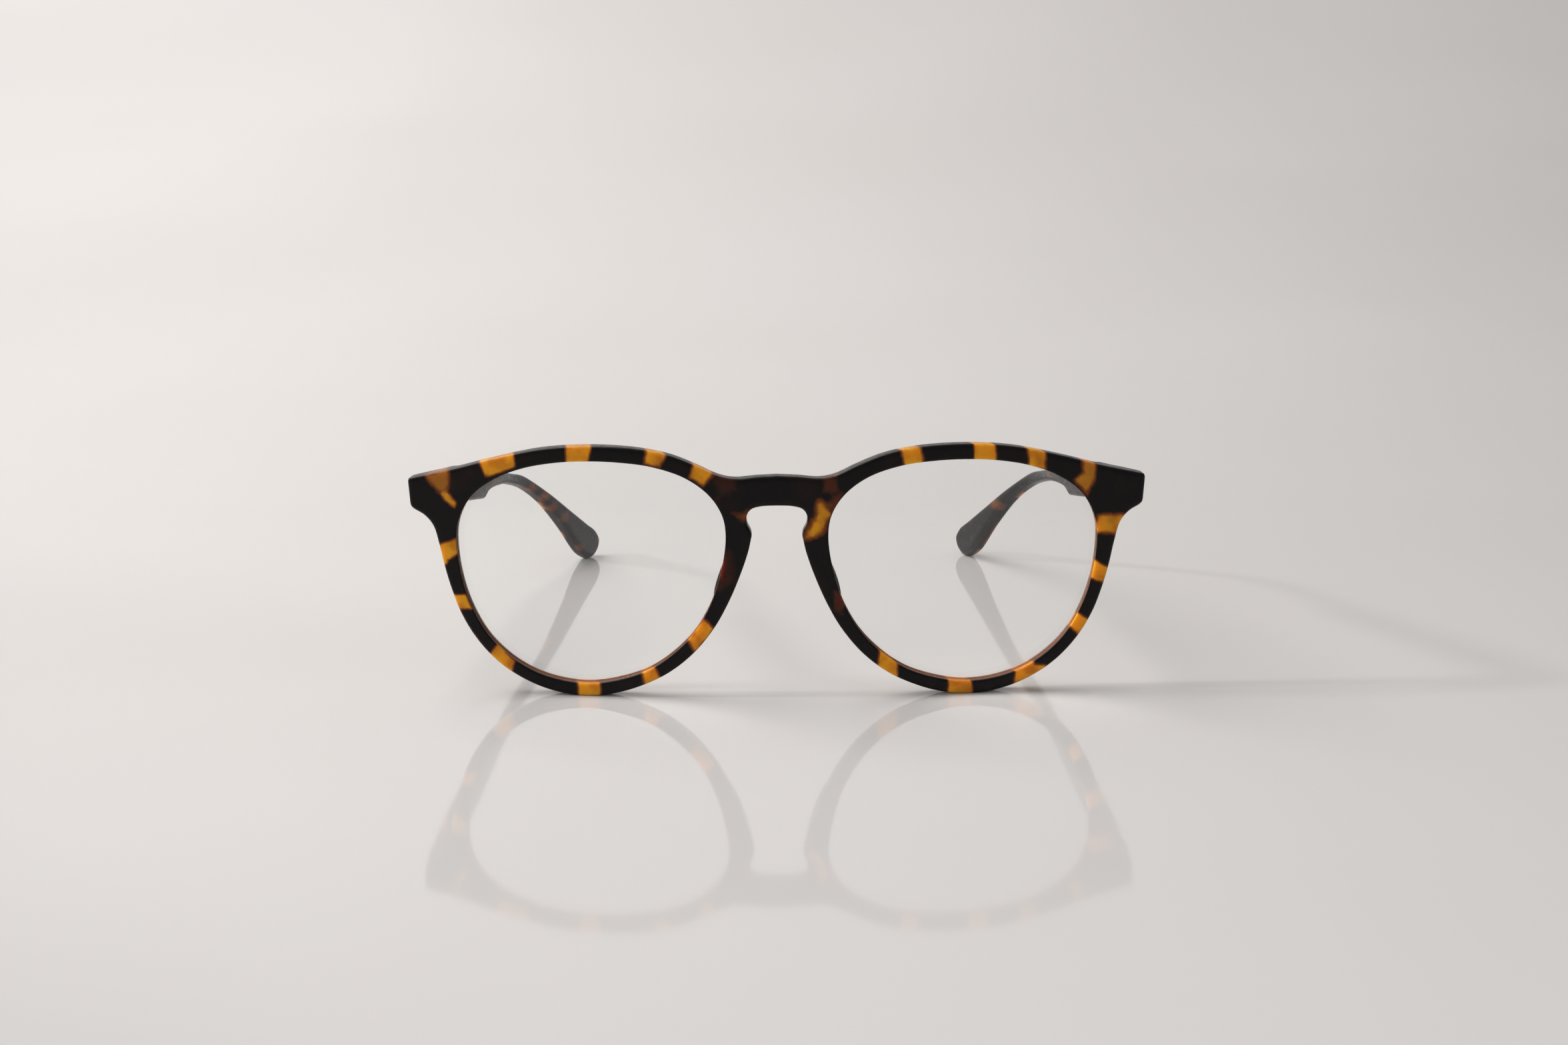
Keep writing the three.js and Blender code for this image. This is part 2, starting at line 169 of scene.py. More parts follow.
def smooth(points, step, closed=False):
    """A centripetal Catmull-Rom curve through the points."""
    p = np.asarray(points, float)
    if closed:
        p = np.vstack([p[-1], p, p[0], p[1]])
    else:
        p = np.vstack([2 * p[0] - p[1], p, 2 * p[-1] - p[-2]])
    line = []
    for a, b, c, d in zip(p, p[1:], p[2:], p[3:]):
        t1 = np.linalg.norm(b - a) ** 0.5
        t2 = t1 + np.linalg.norm(c - b) ** 0.5
        t3 = t2 + np.linalg.norm(d - c) ** 0.5
        t = np.linspace(t1, t2, CURVE_SAMPLES, endpoint=False)[:, None]
        ab = a + (b - a) * t / t1
        bc = b + (c - b) * (t - t1) / (t2 - t1)
        cd = c + (d - c) * (t - t2) / (t3 - t2)
        abc = ab + (bc - ab) * t / t2
        bcd = bc + (cd - bc) * (t - t1) / (t3 - t1)
        line.extend(abc + (bcd - abc) * (t - t1) / (t2 - t1))
    line.append(p[-2])
    result = even(line, step)
    return result[:-1] if closed else result


def chained(*parts):
    """One closed loop from lines that meet end to end."""
    return np.vstack([part[:-1] for part in parts])


def mirrored(loop):
    return (loop * [-1, 1])[::-1]


def outward(loop):
    """The unit normals of a closed loop, pointing out of it."""
    along = np.roll(loop, -1, 0) - np.roll(loop, 1, 0)
    normal = np.c_[along[:, 1], -along[:, 0]] / np.linalg.norm(along, axis=1)[:, None]
    area = np.sum(loop[:, 0] * np.roll(loop[:, 1], -1) - np.roll(loop[:, 0], -1) * loop[:, 1])
    return normal * np.sign(area)


def inside(points, loops):
    """Whether each point is inside the first loop and outside the others."""
    odd = np.zeros(len(points), bool)
    for loop in loops:
        for a, b in zip(loop, np.roll(loop, -1, 0)):
            spans = (a[1] > points[:, 1]) != (b[1] > points[:, 1])
            rise = b[1] - a[1] if b[1] != a[1] else 1.0
            odd ^= spans & (points[:, 0] < a[0] + (points[:, 1] - a[1]) * (b[0] - a[0]) / rise)
    return odd


def distance_to(points, lines):
    """Each point's distance to the nearest of the lines, each a run of points."""
    nearest = np.full(len(points), 1e9)
    for line in lines:
        for a, b in zip(line, line[1:]):
            span = b - a
            t = np.clip(((points - a) @ span) / max(span @ span, 1e-12), 0, 1)
            nearest = np.minimum(nearest, np.linalg.norm(points - a - t[:, None] * span, axis=1))
    return nearest


def closed_line(loop):
    return np.vstack([loop, loop[:1]])


# ---------------------------------------------------------------- meshes

ROUNDING_ANGLES = np.radians([0, 22, 45, 68, 90])
INSET_SHARE = 0.96  # an inset point nearer to an edge than this share is dropped
GRID_MARGIN = 0.4  # steps between the rounding and the inner grid
LEAST_WALL = 0.02  # keeps a wall's rows between its two faces


def new_mesh(name, vertices, faces, attributes=None, crease=38):
    """A smooth-shaded mesh from millimetres, with its creases kept sharp."""
    mesh = bpy.data.meshes.new(name)
    mesh.from_pydata((np.asarray(vertices) * MM).tolist(), [], faces)
    for key, values in (attributes or {}).items():
        layer = mesh.attributes.new(key, "FLOAT", "POINT")
        layer.data.foreach_set("value", np.asarray(values, np.float32))
    work = bmesh.new()
    work.from_mesh(mesh)
    bmesh.ops.remove_doubles(work, verts=work.verts, dist=1e-7)
    bmesh.ops.recalc_face_normals(work, faces=work.faces)
    if work.calc_volume(signed=True) < 0:
        bmesh.ops.reverse_faces(work, faces=work.faces)
    work.to_mesh(mesh)
    work.free()
    mesh.shade_smooth()
    mesh.set_sharp_from_angle(angle=math.radians(crease))
    piece = bpy.data.objects.new(name, mesh)
    bpy.context.scene.collection.objects.link(piece)
    return piece


def rounded_plate(name, loops, faces, place, rounding, step, paint, groove=None, soft=None):
    """A sheet of an outline, with its edges rounded off.

    loops: the outer loop, then the holes. faces(uv) gives the depths of its front and back,
    place(uv, depth) a point in space, rounding(uv) the radius at the front and at the back,
    and paint(vertices) the colour attributes. groove(loop) gives the rows of a hole's wall:
    their depths, and how far each is cut into it. Only edges along the soft lines are
    rounded, where they are given."""
    largest = max(float(np.max(r)) for r in rounding(np.vstack(loops)))
    insets = largest * (1 - np.cos(ROUNDING_ANGLES))
    borders = [closed_line(loop) for loop in loops]

    points, edges = [], []
    for loop in loops:
        first = len(points)
        points.extend(loop)
        edges += [(first + i, first + (i + 1) % len(loop)) for i in range(len(loop))]
    for number, loop in enumerate(loops):
        normal = outward(loop) * (1 if number == 0 else -1)
        for inset in insets[1:]:
            ring = loop - normal * inset
            keep = inside(ring, loops) & (distance_to(ring, borders) > INSET_SHARE * inset)
            points.extend(ring[keep])
    low, high = loops[0].min(0), loops[0].max(0)
    u, v = np.meshgrid(np.arange(low[0], high[0], step), np.arange(low[1], high[1], step))
    v = v + step / 2 * (np.arange(v.shape[1]) % 2)
    grid = np.c_[u.ravel(), v.ravel()]
    grid = grid[inside(grid, loops)]
    points.extend(grid[distance_to(grid, borders) > largest + step * GRID_MARGIN])

    flat, _, triangles, *_ = delaunay_2d_cdt([Vector(p) for p in points], edges, [], 0, 1e-5)
    flat = np.array([tuple(p) for p in flat])
    triangles = np.array([t for t in triangles if len(t) == 3])
    triangles = triangles[inside(flat[triangles].mean(1), loops)]
    count = len(flat)

    gap = distance_to(flat, soft or borders)
    front, back = faces(flat)
    for depths, radius, sign in ((front, rounding(flat)[0], 1), (back, rounding(flat)[1], -1)):
        within = np.clip(radius - gap, 0, radius)
        depths += sign * (radius - np.sqrt(radius**2 - within**2))
    vertices = np.vstack([place(flat, front), place(flat, back)])
    wall = np.zeros(2 * count)
    polygons = [tuple(t) for t in triangles] + [tuple(t[::-1] + count) for t in triangles]

    used = 0
    for number, loop in enumerate(loops):
        index = np.arange(used, used + len(loop))
        used += len(loop)
        normal = outward(loop)
        top, bottom = front[index], back[index]
        if groove is not None and number > 0:
            rows = groove(loop)
        else:
            rows = [(top + (bottom - top) * share, 0.0) for share in (0.25, 0.5, 0.75)]
        levels = [index]
        for depth, cut in rows:
            depth = np.clip(depth, top + LEAST_WALL, bottom - LEAST_WALL)
            levels.append(np.arange(len(vertices), len(vertices) + len(loop)))
            vertices = np.vstack([vertices, place(loop + normal * cut, depth)])
            wall = np.r_[wall, np.full(len(loop), 1.0 if number > 0 else 0.0)]
        levels.append(index + count)
        for upper, lower in zip(levels, levels[1:]):
            after_upper, after_lower = np.roll(upper, -1), np.roll(lower, -1)
            polygons += [tuple(q) for q in np.c_[upper, after_upper, after_lower, lower]]
    # rim_wall marks the walls round the holes, where the material paints a copper reflection.
    attributes = {"rim_wall": wall, **paint(vertices)}
    return new_mesh(name, vertices, [tuple(int(i) for i in p) for p in polygons], attributes)


# ---------------------------------------------------------------- the tortoiseshell pattern

# Amber patches in the near-black sheet, as convex (x, z) corners on the front. The last two
# numbers are how amber the patch is, from 0 to 1, and how soft its edge is, in millimetres.
FRONT_PATCHES = [
    ([(-56.3, 45.8), (-49.4, 49.0), (-49.1, 44.0), (-54.7, 42.0)], 1.0, 0.2),
    ([(-39.2, 50.0), (-34.0, 50.0), (-35.1, 45.0), (-39.2, 45.0)], 1.0, 0.2),
    ([(-24.0, 48.6), (-19.9, 48.0), (-21.8, 44.5), (-24.6, 45.0)], 1.0, 0.3),
    ([(-15.2, 46.0), (-11.6, 43.2), (-13.7, 41.0), (-16.2, 42.4)], 1.0, 0.25),
    ([(-66.4, 41.9), (-62.3, 43.4), (-62.1, 41.0), (-62.6, 38.4), (-64.4, 39.0)], 0.68, 0.35),
    ([(-64.4, 39.6), (-62.4, 38.9), (-60.8, 36.9), (-61.0, 35.9), (-63.0, 37.2)], 0.92, 0.2),
    ([(-66.0, 27.9), (-61.0, 30.0), (-60.6, 25.9), (-62.6, 25.8), (-63.2, 25.4)], 1.0, 0.2),
    ([(-66.0, 27.9), (-63.0, 26.4), (-63.1, 25.1), (-64.4, 24.0)], 1.0, 0.2),
    ([(-63.4, 18.7), (-59.6, 19.2), (-58.6, 16.5), (-62.6, 16.0)], 1.0, 0.2),
    ([(-59.4, 12.0), (-58.2, 11.3), (-57.3, 9.9), (-58.0, 9.0)], 0.8, 0.25),
    ([(-53.6, 9.7), (-50.4, 6.5), (-51.2, 3.6), (-55.8, 6.9)], 1.0, 0.2),
    ([(-38.4, 3.4), (-34.1, 3.4), (-33.8, -1.0), (-37.9, -1.0)], 1.0, 0.22),
    ([(-26.0, 5.9), (-23.5, 5.9), (-22.2, 3.6), (-25.1, 2.0)], 1.0, 0.25),
    ([(-13.9, 15.2), (-12.1, 13.4), (-15.6, 8.8), (-16.9, 11.4)], 1.0, 0.3),
    ([(-7.9, 35.1), (-5.2, 35.7), (-5.2, 33.4), (-6.3, 34.4)], 0.5, 0.45),
    ([(-10.4, 43.0), (-9.0, 42.4), (-8.4, 40.4), (-10.2, 39.6)], 0.1, 0.9),
    ([(-11.0, 27.4), (-9.4, 27.6), (-9.0, 22.6), (-10.6, 21.8)], 0.1, 0.8),
    ([(9.4, 42.9), (11.5, 43.8), (14.2, 44.9), (11.0, 42.6)], 0.8, 0.2),
    ([(9.2, 41.9), (10.6, 41.7), (10.8, 40.0), (9.2, 40.1)], 0.25, 0.5),
    ([(7.9, 37.4), (9.0, 37.2), (10.2, 35.2), (8.2, 32.2), (6.6, 32.4)], 0.95, 0.5),
    ([(6.7, 34.4), (9.2, 34.1), (8.2, 31.9), (7.0, 30.9), (5.6, 31.1)], 0.95, 0.5),
    ([(10.4, 38.4), (11.8, 38.8), (10.7, 35.4), (9.9, 35.0)], 0.3, 0.35),
    ([(11.0, 20.2), (12.8, 19.6), (12.0, 16.6), (11.0, 17.0)], 0.25, 0.4),
    ([(22.9, 48.4), (26.4, 48.8), (27.4, 44.6), (23.9, 44.2)], 1.0, 0.25),
    ([(36.7, 49.6), (40.8, 49.6), (41.0, 44.8), (37.0, 44.8)], 1.0, 0.2),
    ([(47.1, 48.4), (50.6, 47.8), (50.5, 43.0), (47.4, 43.4)], 1.0, 0.25),
    ([(58.0, 45.4), (60.7, 44.9), (60.0, 40.6), (57.8, 42.0)], 0.8, 0.3),
    ([(58.0, 42.3), (60.0, 40.9), (58.8, 38.0), (56.2, 40.8)], 0.85, 0.3),
    ([(61.0, 33.7), (66.4, 33.4), (65.4, 30.1), (60.6, 30.5)], 0.95, 0.35),
    ([(60.3, 25.3), (64.2, 23.1), (63.0, 20.4), (59.4, 21.9)], 1.0, 0.2),
    ([(56.8, 15.4), (60.2, 13.2), (57.9, 10.6), (55.7, 12.7)], 1.0, 0.22),
    ([(45.4, 5.0), (48.6, 6.6), (49.3, 5.2), (48.4, 2.0), (45.3, 1.0)], 1.0, 0.2),
    ([(48.8, 5.3), (51.4, 4.8), (50.4, 3.0), (47.4, 1.8)], 1.0, 0.2),
    ([(32.5, 4.0), (36.8, 4.0), (37.3, -1.0), (32.5, -1.0)], 1.0, 0.2),
    ([(19.4, 9.6), (22.7, 7.4), (22.7, 3.2), (18.9, 5.4)], 1.0, 0.25),
]
PATCH_SLANT = 0.18  # how far a patch's edges shift for each millimetre into the sheet
FAR_FROM_AMBER = -12.0

# Bars across the outer face of a temple: distance back, width, lean, how amber it is.
TEMPLE_BARS = {
    "right": [(20, 3.4, 0.3, 0.9), (33, 5.0, -0.4, 1.0), (45, 2.6, 0.5, 0.7), (56, 4.2, 0.2, 1.0),
              (70, 3.2, -0.5, 0.8), (84, 4.6, 0.4, 0.9), (97, 2.8, -0.2, 0.5), (108, 3.8, 0.6, 0.8),
              (121, 3.0, -0.5, 0.6), (132, 3.4, 0.3, 0.7)],
    "left": [(23, 4.4, -0.4, 1.0), (37, 3.0, 0.4, 0.8), (48, 4.8, -0.2, 0.9), (63, 3.2, 0.5, 1.0),
             (76, 4.0, 0.3, 0.7), (90, 3.0, -0.5, 0.9), (102, 3.6, 0.3, 0.8), (113, 3.0, -0.4, 0.9),
             (125, 3.6, 0.5, 0.8), (134, 2.6, -0.2, 0.8)],
}
# Flecks that reach the inner face: distance back, height, half length, half height, amber. The flecks
# are real, but their low amber is a painted shade: their dim red-brown stands in for the shade on the
# inner face.
TEMPLE_FLECKS_IN_PAINTED_SHADE = {
    "right": [(47, 32.2, 1.6, 1.2, 0.2), (83, 28.9, 2.4, 1.0, 0.2), (117, 16.6, 2.6, 0.9, 0.42)],
    "left": [(22, 37.6, 2.6, 1.2, 0.3), (74, 30.2, 3.0, 0.8, 0.25), (104.5, 23.6, 1.8, 1.1, 0.42),
             (110.5, 20.6, 1.6, 0.8, 0.5), (114.5, 17.0, 1.5, 1.2, 0.42), (120.5, 13.6, 1.5, 1.1, 0.4),
             (127.5, 3.8, 1.6, 0.9, 0.45), (138.6, 4.4, 0.9, 1.8, 0.7)],
}


def depth_in_polygon(points, corners):
    """How far each point is inside a convex polygon; negative outside it."""
    corners = np.asarray(corners, float)
    middle = corners.mean(0)
    depth = np.full(len(points), 1e9)
    for a, b in zip(corners, np.roll(corners, -1, 0)):
        normal = np.array([a[1] - b[1], b[0] - a[0]])
        normal /= np.linalg.norm(normal)
        if (middle - a) @ normal < 0:
            normal = -normal
        depth = np.minimum(depth, (points - a) @ normal)
    return depth


def strongest(depths):
    """Combines (depth over softness, strength) pairs into the two colour attributes."""
    amber = np.full(len(depths[0][0]), FAR_FROM_AMBER)
    strength = np.ones(len(amber))
    for depth, patch_strength in depths:
        nearer = depth > amber
        amber[nearer] = depth[nearer]
        strength[nearer] = patch_strength
    return {"amber": amber, "amber_strength": strength}


def paint_front(vertices):
    flat = vertices[:, [0, 2]].copy()
    into = vertices[:, 1] - FACE_Y - wrap(flat[:, 0])
    flat[:, 0] += PATCH_SLANT * into
    return strongest([(depth_in_polygon(flat, c) / soft, s) for c, s, soft in FRONT_PATCHES])


def paint_temple(side):
    def paint(vertices):
        y, z = vertices[:, 1] - FACE_Y, vertices[:, 2]
        across = np.abs(vertices[:, 0]) - temple_middle(y)
        depths = []
        for number, (at, width, lean, strength) in enumerate(TEMPLE_BARS[side]):
            level = np.interp(at, [TEMPLE_START, 95, TEMPLE_END], [38, 26, 4])
            wave = 0.5 * np.sin(z * 0.9 + 2.1 * number)
            off = np.abs(y - at - lean * (z - level) - wave - 0.3 * across)
            inner_end = across - 0.4 + 0.3 * np.sin(3.7 * number)
            depths.append((np.minimum(width / 2 - off, inner_end) / 0.3, strength))
        # Painted shade: the inner-face flecks are kept weak, so their dim red-brown stands in for the
        # inner face's shade.
        for at, level, half_length, half_height, strength in TEMPLE_FLECKS_IN_PAINTED_SHADE[side]:
            reach = np.hypot((y - at) / half_length, (z - level) / half_height)
            inner = np.where(across < 0, (1 - reach) * half_height, FAR_FROM_AMBER)
            depths.append((inner / 0.45, strength))
        return strongest(depths)

    return paint


# ---------------------------------------------------------------- materials


def node(tree, kind, inputs=None, **settings):
    """Adds a shader node. An input is a value, or another node's output to link."""
    made = tree.nodes.new(kind)
    for key, value in settings.items():
        setattr(made, key, value)
    for key, value in (inputs or {}).items():
        if isinstance(value, bpy.types.NodeSocket):
            tree.links.new(value, made.inputs[key])
        else:
            made.inputs[key].default_value = value
    return made


def material(name):
    made = bpy.data.materials.new(name)
    made.use_nodes = True
    made.node_tree.nodes.clear()
    return made, made.node_tree


def finish_material(tree, shader):
    node(tree, "ShaderNodeOutputMaterial", {"Surface": shader.outputs[0]})


def noise(tree, scale, detail=2.0, stretch=(1, 1, 1)):
    place = node(tree, "ShaderNodeTexCoord").outputs["Object"]
    mapped = node(tree, "ShaderNodeMapping", {"Vector": place, "Scale": stretch})
    settings = {"Vector": mapped.outputs[0], "Scale": scale, "Detail": detail}
    return node(tree, "ShaderNodeTexNoise", settings).outputs["Fac"]


def ranged(tree, value, low, high, to_low=0.0, to_high=1.0):
    inputs = {"Value": value, "From Min": low, "From Max": high, "To Min": to_low, "To Max": to_high}
    return node(tree, "ShaderNodeMapRange", inputs, interpolation_type="SMOOTHSTEP").outputs[0]


def calculate(tree, operation, a, b):
    made = node(tree, "ShaderNodeMath", operation=operation)
    for socket, value in zip(made.inputs, (a, b)):
        if isinstance(value, bpy.types.NodeSocket):
            tree.links.new(value, socket)
        else:
            socket.default_value = value
    return made.outputs[0]


def mixed(tree, share, a, b):
    """Mixes two colours, each an output or (red, green, blue)."""
    made = node(tree, "ShaderNodeMix", data_type="RGBA")
    for socket, value in zip((made.inputs[0], made.inputs[6], made.inputs[7]), (share, a, b)):
        if isinstance(value, bpy.types.NodeSocket):
            tree.links.new(value, socket)
        else:
            socket.default_value = (*value, 1) if isinstance(value, tuple) else value
    return made.outputs[2]


def attribute(tree, name):
    return node(tree, "ShaderNodeAttribute", attribute_name=name).outputs["Fac"]


# The colours of a patch as it gets stronger: red-brown, orange-brown, dull gold.
EMBERS = [
    (0.0, (0.012, 0.004, 0.003, 1)),
    (0.25, (0.07, 0.014, 0.006, 1)),
    (0.55, (0.22, 0.07, 0.010, 1)),
    (0.8, (0.42, 0.17, 0.012, 1)),
]


# Each pair is the two ends of a mottled colour, or of a patch's edge as it gets stronger.
DARK_SHEET = ((0.0022, 0.0014, 0.0013), (0.008, 0.0024, 0.002))
HONEY = ((0.68, 0.315, 0.010), (0.45, 0.168, 0.008))
PATCH_EDGE = ((0.012, 0.004, 0.003), (0.20, 0.045, 0.006))
COPPER_WALL_REFLECTION, WALL_REFLECTION_SHARE = (0.27, 0.095, 0.04), 0.85  # painted reflection: a copper tint on the cut wall round a lens, standing in for the lens edge's reflection and the wall's highlights
PATCH_GLOW = 0.8  # light carried through a full patch


def acetate():
    """Near-black brown sheet with amber patches that darken to orange at their edges, and a painted
    reflection: copper on the cut wall round each lens.
    """
    made, tree = material("tortoise_acetate")
    wander = ranged(tree, noise(tree, 420, 3), 0.25, 0.75, -0.7, 0.7)
    amber = calculate(tree, "ADD", attribute(tree, "amber"), wander)
    strength = attribute(tree, "amber_strength")
    patch = ranged(tree, amber, -0.5, 1.6)
    halo = ranged(tree, amber, -2.0, 0.2)

    hues = node(tree, "ShaderNodeValToRGB", {"Fac": strength})
    stops = hues.color_ramp.elements
    stops[0].color, stops[1].position, stops[1].color = EMBERS[0][1], *EMBERS[1]
    for position, hue in EMBERS[2:]:
        stops.new(position).color = hue
    cloud = ranged(tree, noise(tree, 160, 3), 0.5, 0.72)
    dark = mixed(tree, cloud, *DARK_SHEET)
    streaks = ranged(tree, noise(tree, 260, 4), 0.38, 0.68)
    honey = mixed(tree, streaks, *HONEY)
    rich = mixed(tree, ranged(tree, strength, 0.75, 1.0), hues.outputs[0], honey)
    ember = mixed(tree, strength, *PATCH_EDGE)
    colour = mixed(tree, halo, dark, ember)
    colour = mixed(tree, patch, colour, rich)
    # Painted reflection: the walls round the lenses are tinted copper, standing in for the lens edge's
    # reflection and highlights.
    wall = calculate(tree, "MULTIPLY", attribute(tree, "rim_wall"), WALL_REFLECTION_SHARE)
    colour = mixed(tree, wall, colour, COPPER_WALL_REFLECTION)

    roughness = ranged(tree, noise(tree, 900, 4), 0.3, 0.7, 0.26, 0.38)
    grain = {"Height": noise(tree, 2600, 3), "Strength": 0.02, "Distance": 0.0002}
    scuffs = node(tree, "ShaderNodeBump", grain)
    glow = calculate(tree, "MULTIPLY", patch, PATCH_GLOW)
    shader = node(
        tree,
        "ShaderNodeBsdfPrincipled",
        {
            "Base Color": colour,
            "Roughness": roughness,
            "Normal": scuffs.outputs[0],
            "Subsurface Weight": glow,
            "Subsurface Radius": (1.0, 0.45, 0.08),
            "Subsurface Scale": 0.004,
            "IOR": 1.49,
            "Specular IOR Level": 0.2,
        },
    )
    finish_material(tree, shader)
    return made


def clear_lens():
    """Clear plastic, with the faintest cloth-wiped variation in its gloss."""
    made, tree = material("clear_lens")
    shader = node(
        tree,
        "ShaderNodeBsdfPrincipled",
        {
            "Base Color": (0.99, 0.995, 0.995, 1),
            "Roughness": ranged(tree, noise(tree, 60, 2), 0.3, 0.7, 0.0, 0.012),
            "Transmission Weight": 1.0,
            "IOR": 1.49,
        },
    )
    finish_material(tree, shader)
    return made


def ground_edge():
    """The lens's ground rim, left matt by the edging wheel."""
    made, tree = material("ground_lens_edge")
    pale = mixed(tree, noise(tree, 3000, 2), (0.62, 0.62, 0.60), (0.82, 0.82, 0.80))
    settings = {
        "Base Color": pale,
        "Roughness": 0.6,
        "Subsurface Weight": 0.2,
        "Subsurface Scale": 0.001,
    }
    finish_material(tree, node(tree, "ShaderNodeBsdfPrincipled", settings))
    return made


def steel(name, colour, grain):
    """Nickel-plated steel with fine drawn lines along one axis."""
    made, tree = material(name)
    lines = noise(tree, 900, 3, stretch=grain)
    tone = mixed(tree, lines, tuple(c * 0.86 for c in colour), colour)
    scratches = node(tree, "ShaderNodeBump", {"Height": lines, "Strength": 0.08, "Distance": 0.0001})
    settings = {
        "Base Color": tone,
        "Metallic": 1.0,
        "Roughness": ranged(tree, lines, 0.3, 0.7, 0.18, 0.34),
        "Normal": scratches.outputs[0],
    }
    finish_material(tree, node(tree, "ShaderNodeBsdfPrincipled", settings))
    return made


ACETATE = acetate()
LENS = clear_lens()
GROUND = ground_edge()
HINGE_STEEL = steel("hinge_steel", (0.70, 0.69, 0.66), (1, 1, 9))
WIRE_STEEL = steel("core_wire_steel", (0.62, 0.61, 0.58), (9, 1, 9))


# ---------------------------------------------------------------- the pieces


def settle(piece, body, cad_nodes, slot, *materials):
    for made in materials:
        piece.data.materials.append(made)
    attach(piece, body)
    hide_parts(*cad_nodes)
    return piece


def sphere_depth(flat):
    """How far back the lens's front surface is, for points of the right lens."""
    x, z = LENS_CENTRE
    slope = (x - WRAP_START) / WRAP_RADIUS
    radius = np.hypot(flat[:, 0] - x, flat[:, 1] - z)
    sag = LENS_RADIUS - np.sqrt(LENS_RADIUS**2 - radius**2)
    return wrap(np.array(x)) + LENS_APEX_DEPTH + slope * (flat[:, 0] - x) + sag


opening = smooth(LENS_OPENING, 0.5, closed=True)


def make_front():
    half = [smooth(BROW, 0.5), smooth(END_TOP, 0.12), even(END_SIDE, 0.5), smooth(END_LOW, 0.12)]
    half += [smooth(RIM, 0.5), smooth(KEYHOLE, 0.4)]
    half = chained(*half)
    outer = np.vstack([half, [KEYHOLE[-1]], mirrored(half)[:-1]])

    def faces(flat):
        front = wrap(flat[:, 0])
        out = smoothstep(*THICKENING_X, np.abs(flat[:, 0]))
        thick = out * smoothstep(*THICKENING_Z, flat[:, 1])
        back = front + FRONT_THICKNESS
        return front, back + thick * np.maximum(END_BACK - back, 0)

    def rounding(flat):
        out = smoothstep(*JOINT_X, np.abs(flat[:, 0]))
        near_joint = out * smoothstep(*JOINT_Z, flat[:, 1])
        ring = flat.copy()
        ring[:, 0] = np.abs(ring[:, 0])
        near, far = OPENING_BAND
        near_lens = smoothstep(far, near, distance_to(ring, [closed_line(opening)]))
        front = EDGE + near_lens * (OPENING_EDGE - EDGE)
        return front, front + near_joint * (JOINT_EDGE - front)

    def place(flat, depth):
        return np.c_[flat[:, 0], depth + FACE_Y, flat[:, 1]]

    def groove(loop):
        lens = sphere_depth(np.c_[np.abs(loop[:, 0]), loop[:, 1]])
        behind = lens + LENS_THICKNESS
        rows = [(lens - GROOVE_SHOULDER, 0), (lens - GROOVE_GAP, GROOVE_DEPTH)]
        return rows + [(behind + GROOVE_GAP, GROOVE_DEPTH), (behind + GROOVE_SHOULDER, 0)]

    loops = [outer, opening, mirrored(opening)]
    piece = rounded_plate("front_acetate", loops, faces, place, rounding, 0.7, paint_front, groove)
    return settle(piece, "front", ["frame_front"], "tortoise_acetate", ACETATE)


def make_temple(side):
    sign = SIDES[side]
    sections = [smooth(TEMPLE_TOP, 0.6), smooth(TIP_END, 0.5), smooth(TEMPLE_UNDERSIDE, 0.6)]
    sections += [even(TEMPLE_LOW, 0.6), even(TEMPLE_BUTT, 0.4)]
    outer = chained(*sections)
    butt = len(outer) - len(sections[-1]) + 1
    soft = [outer[: butt + 1]]

    def faces(flat):
        thinning = (TEMPLE_THICKNESS - TIP_THICKNESS) / (TEMPLE_END - TEMPLE_START)
        half = (TEMPLE_THICKNESS - (flat[:, 0] - TEMPLE_START) * thinning) / 2
        return -half, half.copy()

    def rounding(flat):
        away_from_joint = smoothstep(TEMPLE_START, TEMPLE_START + JOINT_FADE, flat[:, 0])
        radius = JOINT_EDGE + away_from_joint * (TEMPLE_EDGE - JOINT_EDGE)
        return radius, radius

    def place(flat, depth):
        return np.c_[sign * (temple_middle(flat[:, 0]) + depth), flat[:, 0] + FACE_Y, flat[:, 1]]

    name = "temple_acetate_" + side
    piece = rounded_plate(name, [outer], faces, place, rounding, 0.9, paint_temple(side), soft=soft)
    return settle(piece, "temple_" + side, ["temple_" + side], "tortoise_acetate", ACETATE)


def make_lens(side):
    sign = SIDES[side]
    edge = opening + outward(opening) * (GROOVE_DEPTH - GROOVE_GAP)
    middle = np.array(LENS_CENTRE)
    rings = LENS_RINGS
    vertices, faces = [], []
    count = len(edge)
    for thickness in (0.0, LENS_THICKNESS):
        for ring in range(rings, 0, -1):
            flat = middle + (edge - middle) * ring / rings
            depth = sphere_depth(flat) + thickness
            vertices.extend(np.c_[sign * flat[:, 0], depth + FACE_Y, flat[:, 1]])
        depth = sphere_depth(middle[None])[0] + thickness
        vertices.append((sign * middle[0], depth + FACE_Y, middle[1]))
    layer = rings * count + 1
    for base in (0, layer):
        for ring in range(rings - 1):
            for i in range(count):
                a, b = base + ring * count + i, base + ring * count + (i + 1) % count
                faces.append((a, b, b + count, a + count))
        last = base + (rings - 1) * count
        faces += [(last + i, last + (i + 1) % count, base + layer - 1) for i in range(count)]
    side_faces = len(faces)
    faces += [(i, (i + 1) % count, layer + (i + 1) % count, layer + i) for i in range(count)]
    piece = new_mesh("lens_clear_" + side, vertices, faces)
    settle(piece, "front", ["lens_" + side], "clear_lens", LENS, GROUND)
    for polygon in piece.data.polygons:
        polygon.material_index = int(polygon.index >= side_faces)
    piece.visible_shadow = False
    return piece


